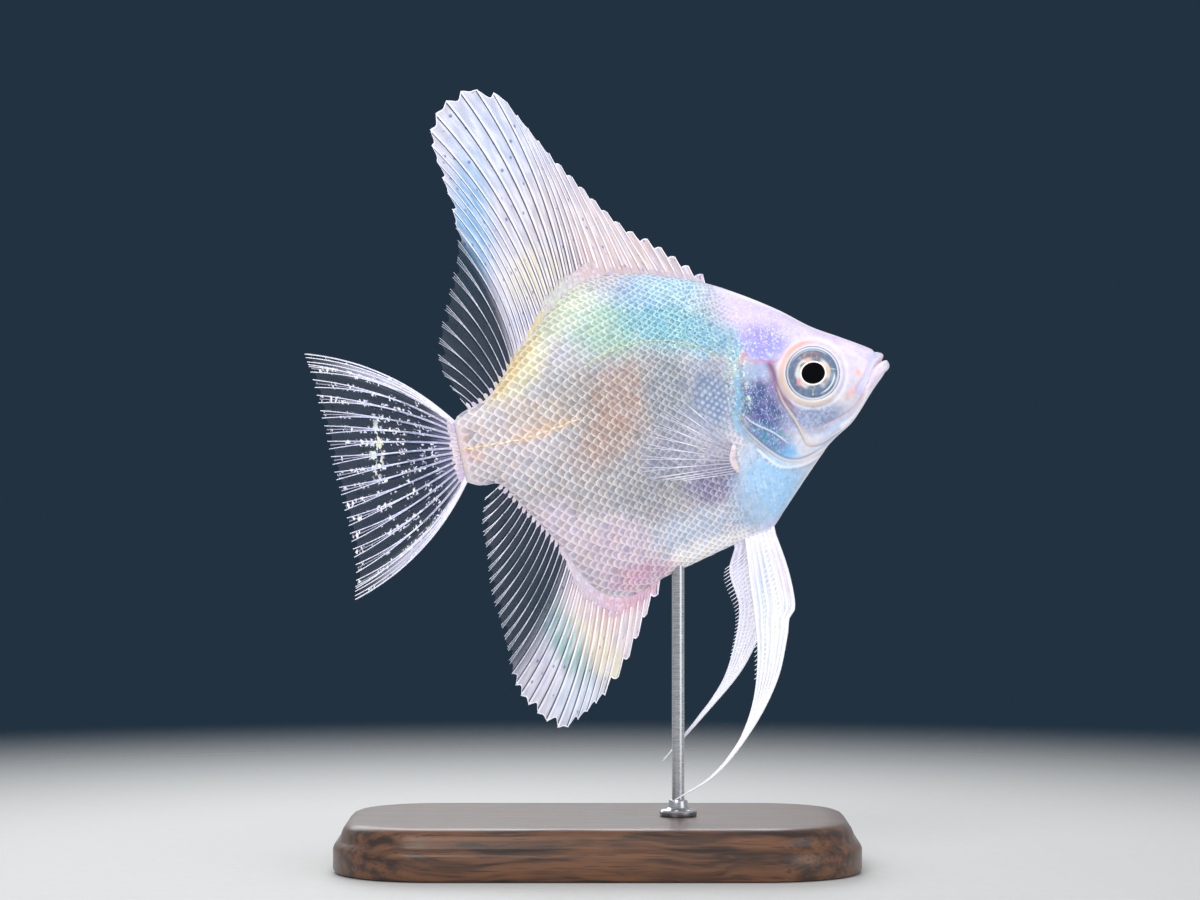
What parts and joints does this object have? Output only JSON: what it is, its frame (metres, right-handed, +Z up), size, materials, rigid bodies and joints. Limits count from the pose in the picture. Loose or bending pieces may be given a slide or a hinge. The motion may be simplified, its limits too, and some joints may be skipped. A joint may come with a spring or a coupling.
{
  "type": "freshwater angelfish",
  "caption": "Life-size still model of a pearly freshwater angelfish, swimming head up, with raised fins, on a flat base and rod.",
  "frame": {"origin": "centre of the underside of the whole model's box, on the floor under the stand's base", "axes": "+X the way the fish faces, along the base's length; +Y to the fish's left; +Z up. The fish is pitched 12 degrees head up"},
  "size_m": [0.0947, 0.05, 0.1254],
  "materials": {
    "pearl_skin": "pearly white scaled skin with blue, green, gold and pink tints",
    "lip": "smooth pinkish white skin",
    "gill_cover": "slate blue, glassy, with a pearly sheen",
    "eye": "wet gloss, pale iris in a grey ring round a black pupil",
    "fin": "clear membrane between white rays",
    "walnut": "dark walnut, satin varnish",
    "steel": "satin steel rod"
  },
  "bodies": {
    "root": {"head": "pearl_skin", "upper_jaw": "lip", "lower_jaw": "lip", "gill_cover_right": "gill_cover", "gill_cover_left": "gill_cover", "eye_right": "eye", "eye_left": "eye", "trunk": "pearl_skin", "tail_stalk": "pearl_skin", "dorsal_fin_spines": "fin", "dorsal_fin_rays": "fin", "anal_fin_spines": "fin", "anal_fin_rays": "fin", "caudal_fin": "fin", "pectoral_fin_right": "fin", "pectoral_fin_left": "fin", "pelvic_fin_right": "fin", "pelvic_fin_left": "fin", "stand_base": "walnut", "stand_rod": "steel"}
  },
  "joints": []
}
